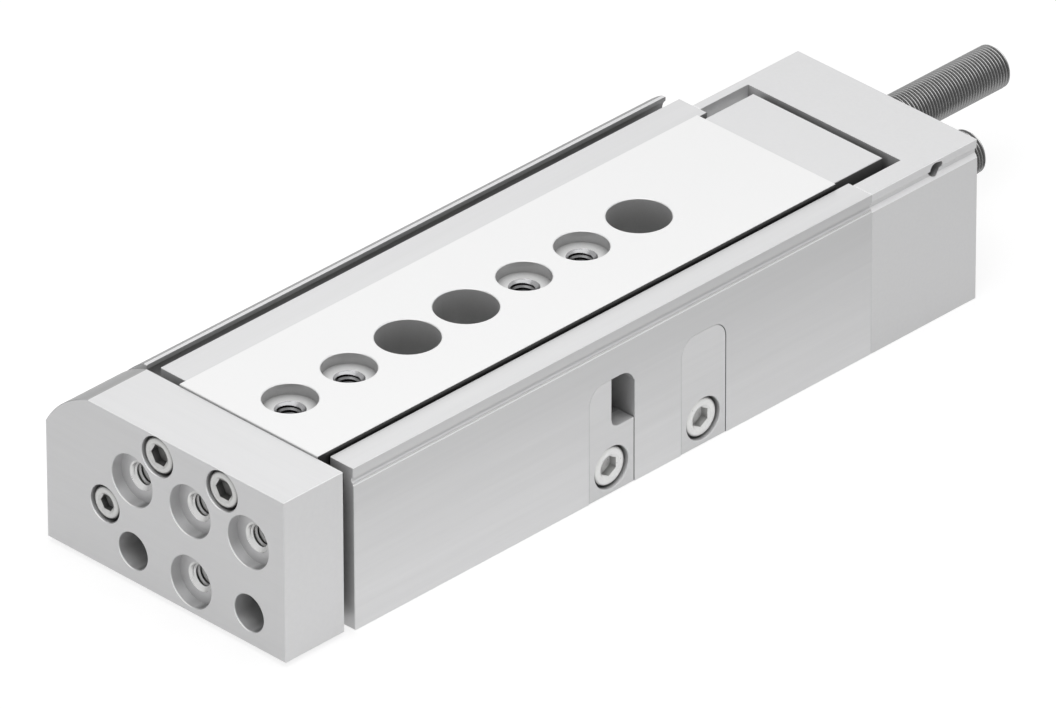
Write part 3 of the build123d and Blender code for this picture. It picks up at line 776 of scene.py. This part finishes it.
def seen_directly(tree):
    """1 where a camera, glossy or transmission ray arrives, and 0 for the light itself."""
    path = tree.nodes.new("ShaderNodeLightPath")
    total = path.outputs["Is Camera Ray"]
    for kind in ("Is Glossy Ray", "Is Transmission Ray"):
        total = maths(tree, "ADD", total, path.outputs[kind])
        total.node.use_clamp = True
    return total


def emitter(tree, kind, strength):
    """A white light of a strength: Emission for a surface or Background for the world."""
    node = tree.nodes.new(f"ShaderNode{kind}")
    node.inputs["Color"].default_value = WHITE
    attach(tree, node.inputs["Strength"], strength)
    return node.outputs[kind]


def blend_into(tree, kind, share, first, second):
    """Ends a tree in an output of this kind, with a share of the second shader in the first."""
    mix = tree.nodes.new("ShaderNodeMixShader")
    tree.links.new(share, mix.inputs["Fac"])
    tree.links.new(first, mix.inputs[1])
    tree.links.new(second, mix.inputs[2])
    output = tree.nodes.new(kind)
    tree.links.new(mix.outputs["Shader"], output.inputs["Surface"])


def softbox(name, position, target, width, length, power):
    """A rectangular area light that faces a point."""
    light = bpy.data.lights.new(name, "AREA")
    light.shape = "RECTANGLE"
    light.size = width
    light.size_y = length
    light.energy = power
    lamp = bpy.data.objects.new(name, light)
    facing = Vector(target) - Vector(position)
    lamp.rotation_mode = "QUATERNION"
    lamp.rotation_quaternion = facing.to_track_quat("-Z", "Y")
    lamp.location = position
    bpy.context.scene.collection.objects.link(lamp)
    return lamp


# The floor. It throws no shadow into the painted shade of cavities on faces near it.
floor_mesh = bpy.data.meshes.new("floor")
corners = [(x * FLOOR_REACH, y * FLOOR_REACH, 0) for x, y in ((-1, -1), (1, -1), (1, 1), (-1, 1))]
floor_mesh.from_pydata(corners, [], [(0, 1, 2, 3)])
floor = bpy.data.objects.new("floor", floor_mesh)
bpy.context.scene.collection.objects.link(floor)
floor.visible_shadow = False

floor_finish = bpy.data.materials.new("floor")
floor_finish.use_nodes = True
tree = floor_finish.node_tree
tree.nodes.clear()
paper = tree.nodes.new("ShaderNodeBsdfDiffuse")
paper.inputs["Color"].default_value = FLOOR_GREY
shown = emitter(tree, "Emission", FLOOR_WHITE_STRENGTH)
share = maths(tree, "MULTIPLY", seen_directly(tree), FLOOR_SHOWN_WHITE)
blend_into(tree, "ShaderNodeOutputMaterial", share, paper.outputs["BSDF"], shown)
floor_mesh.materials.append(floor_finish)

# The world: light from above the horizon only, and plain white where it is seen
world = bpy.data.worlds.new("studio")
bpy.context.scene.world = world
world.use_nodes = True
tree = world.node_tree
tree.nodes.clear()
height = component(tree, coordinate(tree, "Generated"), "Z")
room = emitter(tree, "Background", ramp(tree, height, 0.0, HORIZON, 0.0, ROOM))
backdrop = emitter(tree, "Background", 1.0)
blend_into(tree, "ShaderNodeOutputWorld", seen_directly(tree), room, backdrop)

# Glossy faces mirror the white room and not this lamp, so level faces seen from above don't clip
overhead = softbox(
    "overhead",
    position=(0.0, 0.0, 0.6),
    target=(0.0, 0.0, 0.0),
    width=0.8,
    length=0.8,
    power=2.1,
)
overhead.visible_glossy = False
softbox(
    "over_the_front",
    position=(0.03, -0.05, 0.2),
    target=(0.03, -0.05, 0.0),
    width=0.16,
    length=0.3,
    power=0.157,
)

# The camera stands where a fit to the photograph's edges puts it
CAMERA_PLACE = (1.276658, -1.286068, 1.113170)
CAMERA_RIGHT = (0.709667, 0.704533, -0.002506)
CAMERA_UP = (-0.365668, 0.371370, 0.853447)
CAMERA_BACK = (0.60221, -0.60475, 0.52117)
camera_data = bpy.data.cameras.new("camera")
camera_data.sensor_width = 36.0
camera_data.lens = 589.2
camera_data.clip_start = 0.05
camera_data.clip_end = 20.0
camera = bpy.data.objects.new("camera", camera_data)
turn = Matrix((CAMERA_RIGHT, CAMERA_UP, CAMERA_BACK)).transposed().to_4x4()
camera.matrix_world = Matrix.Translation(CAMERA_PLACE) @ turn
bpy.context.scene.collection.objects.link(camera)
bpy.context.scene.camera = camera
bpy.context.scene.view_settings.view_transform = "Standard"
